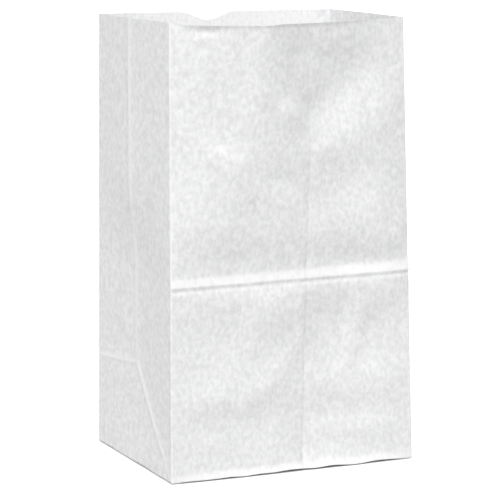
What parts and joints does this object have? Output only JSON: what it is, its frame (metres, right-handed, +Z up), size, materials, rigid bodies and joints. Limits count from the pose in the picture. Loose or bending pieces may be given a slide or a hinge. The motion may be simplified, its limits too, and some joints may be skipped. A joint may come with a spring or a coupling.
{
  "type": "paper grocery bag",
  "caption": "Open block-bottom grocery bag of white kraft paper with gusseted sides, a thumb notch in the rim and a flat folded base.",
  "frame": {"origin": "middle of the base, on the surface that the bag stands on", "axes": "+Z up towards the mouth, -Y out of the wide wall with the glued lap (the front), +X to that wall's right as seen from the front"},
  "size_m": [0.208, 0.1766, 0.342],
  "materials": {
    "white_kraft_paper": "bleached machine-finished kraft paper, matte, with a faint fibre mottle"
  },
  "bodies": {
    "root": {"paper_bag": "white_kraft_paper"}
  },
  "joints": []
}
